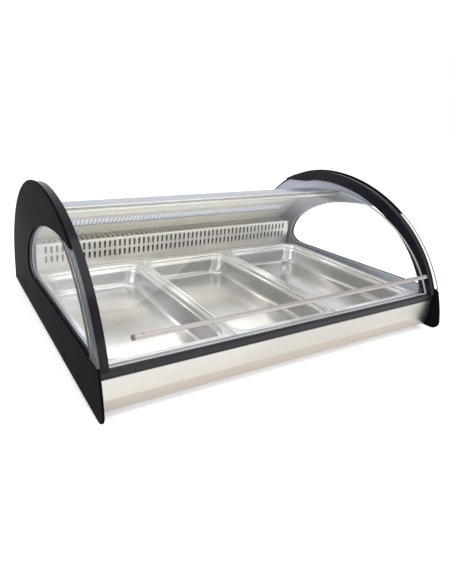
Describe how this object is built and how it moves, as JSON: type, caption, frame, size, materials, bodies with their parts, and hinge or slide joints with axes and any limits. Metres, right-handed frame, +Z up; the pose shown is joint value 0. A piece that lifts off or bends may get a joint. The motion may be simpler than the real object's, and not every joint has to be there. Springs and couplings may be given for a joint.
{
  "type": "hot food display case",
  "caption": "Counter-top heated display case for three full-size food pans, with curved lift-up front glass, black curved ends, a light strip and fan-blown air heater.",
  "frame": {"origin": "centre of the bounding box's underside, on the plane that the feet stand on", "axes": "+X along the case to the customer's right, -Y towards the customer, +Y towards the service side, +Z up"},
  "size_m": [1.028, 0.838, 0.399],
  "materials": {
    "black_panel": "satin black moulding, rounded edges",
    "black_trim": "gloss black",
    "grey_liner": "satin blue-grey",
    "clear_glass": "clear tempered glass, green-blue edge",
    "stainless": "brushed along X",
    "polished_stainless": "bright polished",
    "pan_steel": "bright pressed sheet",
    "satin_steel": "satin",
    "hinge_steel": "bright turned",
    "grey_seal": "soft grey strip",
    "black_plastic": "moulded black",
    "amber_lens": "clear amber",
    "lamp_lens": "ribbed clear diffuser",
    "heater_sheath": "heat-darkened sheath",
    "foot_rubber": "black rubber"
  },
  "bodies": {
    "case": {"cheek_left": "black_panel", "cheek_right": "black_panel", "side_glass_left": "clear_glass", "side_glass_right": "clear_glass", "arch_left": "black_trim", "arch_right": "black_trim", "liner_left": "grey_liner", "liner_right": "grey_liner", "base_pan": "stainless", "front_panel": "stainless", "front_rail": "black_trim", "glass_seat": "grey_seal", "well_deck": "stainless", "divider_bar_left": "stainless", "divider_bar_right": "stainless", "well_tray": "stainless", "heater_cover": "pan_steel", "back_wall": "polished_stainless", "light_housing": "stainless", "light_lens_left": "lamp_lens", "light_lens_centre": "lamp_lens", "light_lens_right": "lamp_lens", "roof_plate": "stainless", "rear_hood": "stainless", "rear_panel": "stainless", "thermostat": "stainless", "pilot_lamp": "amber_lens", "power_switch_frame": "black_plastic", "light_switch_frame": "black_plastic", "cable_gland": "black_plastic", "well_heater_left": "heater_sheath", "well_heater_centre": "heater_sheath", "well_heater_right": "heater_sheath", "air_heater": "heater_sheath", "plenum_wall": "stainless", "fan_frame_left": "black_plastic", "fan_frame_right": "black_plastic", "hinge_pin_left": "hinge_steel", "hinge_pin_right": "hinge_steel", "foot_front_left": "foot_rubber", "foot_front_right": "foot_rubber", "foot_rear_left": "foot_rubber", "foot_rear_right": "foot_rubber"},
    "front_glass": {"curved_glass": "clear_glass", "glass_top_rail": "satin_steel", "handle_rod": "satin_steel", "handle_post_left": "satin_steel", "handle_post_right": "satin_steel"},
    "pan_left": {"gn_pan_left": "pan_steel"},
    "pan_centre": {"gn_pan_centre": "pan_steel"},
    "pan_right": {"gn_pan_right": "pan_steel"},
    "thermostat_dial": {"thermostat_knob": "black_plastic"},
    "power_key": {"power_switch_rocker": "black_plastic"},
    "light_key": {"light_switch_rocker": "black_plastic"},
    "fan_left": {"fan_rotor_left": "black_plastic"},
    "fan_right": {"fan_rotor_right": "black_plastic"}
  },
  "joints": [
    {"name": "front_glass_hinge", "type": "hinge", "parent": "case", "child": "front_glass", "pos_m": [0, 0.006, 0.3335], "axis": [-1, 0, 0], "range_deg": [0, 65]},
    {"name": "pan_left_lift", "type": "slide", "parent": "case", "child": "pan_left", "axis": [0, 0, 1], "range_m": [0, 0.03]},
    {"name": "pan_centre_lift", "type": "slide", "parent": "case", "child": "pan_centre", "axis": [0, 0, 1], "range_m": [0, 0.03]},
    {"name": "pan_right_lift", "type": "slide", "parent": "case", "child": "pan_right", "axis": [0, 0, 1], "range_m": [0, 0.03]},
    {"name": "thermostat_turn", "type": "hinge", "parent": "case", "child": "thermostat_dial", "pos_m": [0.4, 0.3926, 0.118], "axis": [0, 1, 0], "range_deg": [0, 270]},
    {"name": "power_switch_rock", "type": "hinge", "parent": "case", "child": "power_key", "pos_m": [0.295, 0.3926, 0.118], "axis": [1, 0, 0], "range_deg": [0, 23]},
    {"name": "light_switch_rock", "type": "hinge", "parent": "case", "child": "light_key", "pos_m": [0.245, 0.3926, 0.118], "axis": [1, 0, 0], "range_deg": [0, 23]},
    {"name": "fan_left_spin", "type": "hinge", "parent": "case", "child": "fan_left", "pos_m": [-0.25, 0.27, 0.098], "axis": [0, 1, 0], "continuous": true},
    {"name": "fan_right_spin", "type": "hinge", "parent": "case", "child": "fan_right", "pos_m": [0.25, 0.27, 0.098], "axis": [0, 1, 0], "continuous": true}
  ]
}
